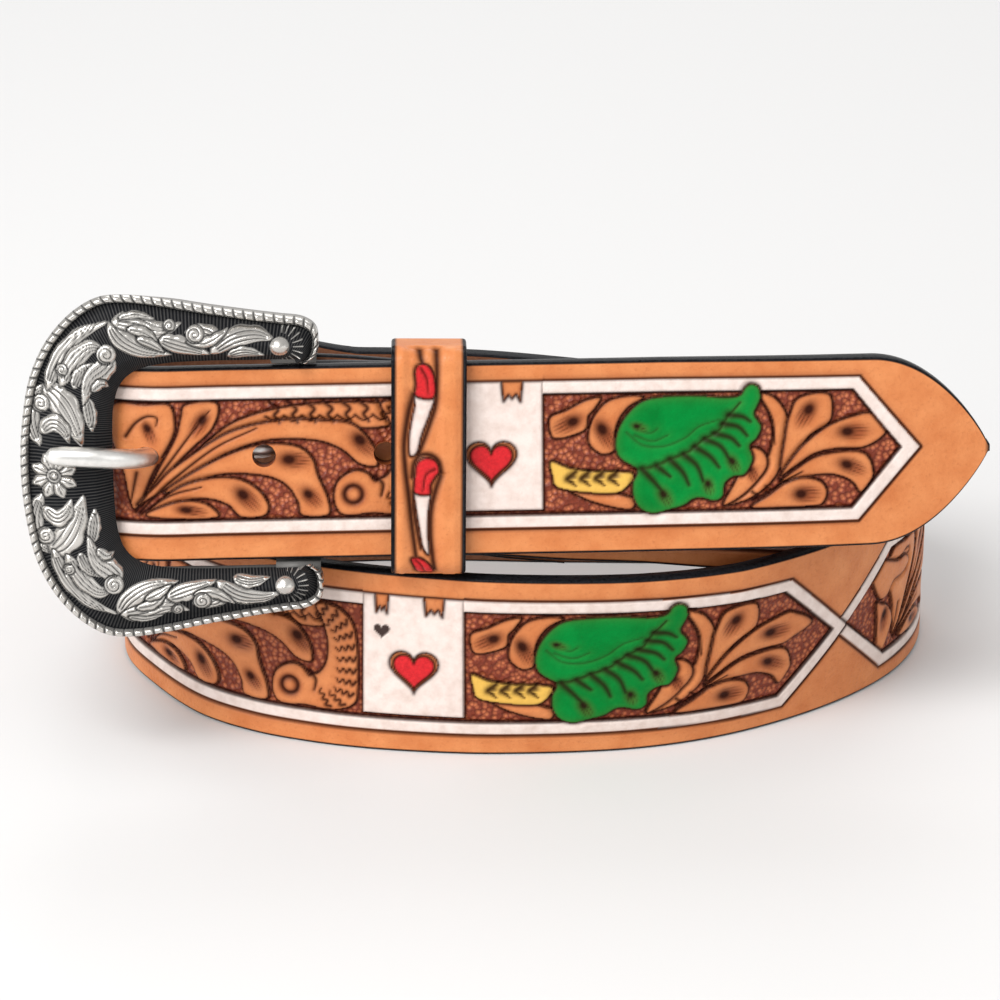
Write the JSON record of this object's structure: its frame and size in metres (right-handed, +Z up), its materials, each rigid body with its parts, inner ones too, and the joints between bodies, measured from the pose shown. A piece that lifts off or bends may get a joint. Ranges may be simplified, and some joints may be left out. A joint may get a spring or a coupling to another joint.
{
  "type": "western tooled leather belt",
  "caption": "Tooled leather belt, coiled twice and fastened, with a cast scroll buckle, plain prong, keeper loop and pointed tip.",
  "frame": {"origin": "middle of the bottom of the whole coil, on the surface that the lower turn stands on", "axes": "+X along the fastened front to the belt's tip, +Y from the front to the back of the coil, +Z up"},
  "size_m": [0.1864, 0.1064, 0.0947],
  "materials": {
    "tooled_leather": "carved and dyed tan leather with black edges and painted motifs",
    "keeper_leather": "carved tan leather with black edges",
    "antique_metal": "antiqued bright casting, dark in its recesses",
    "satin_steel": "satin"
  },
  "bodies": {
    "root": {"strap": "tooled_leather", "keeper": "keeper_leather", "buckle_frame": "antique_metal", "buckle_bar": "satin_steel", "prong": "satin_steel", "screw_1": "satin_steel", "screw_2": "satin_steel"}
  },
  "joints": []
}
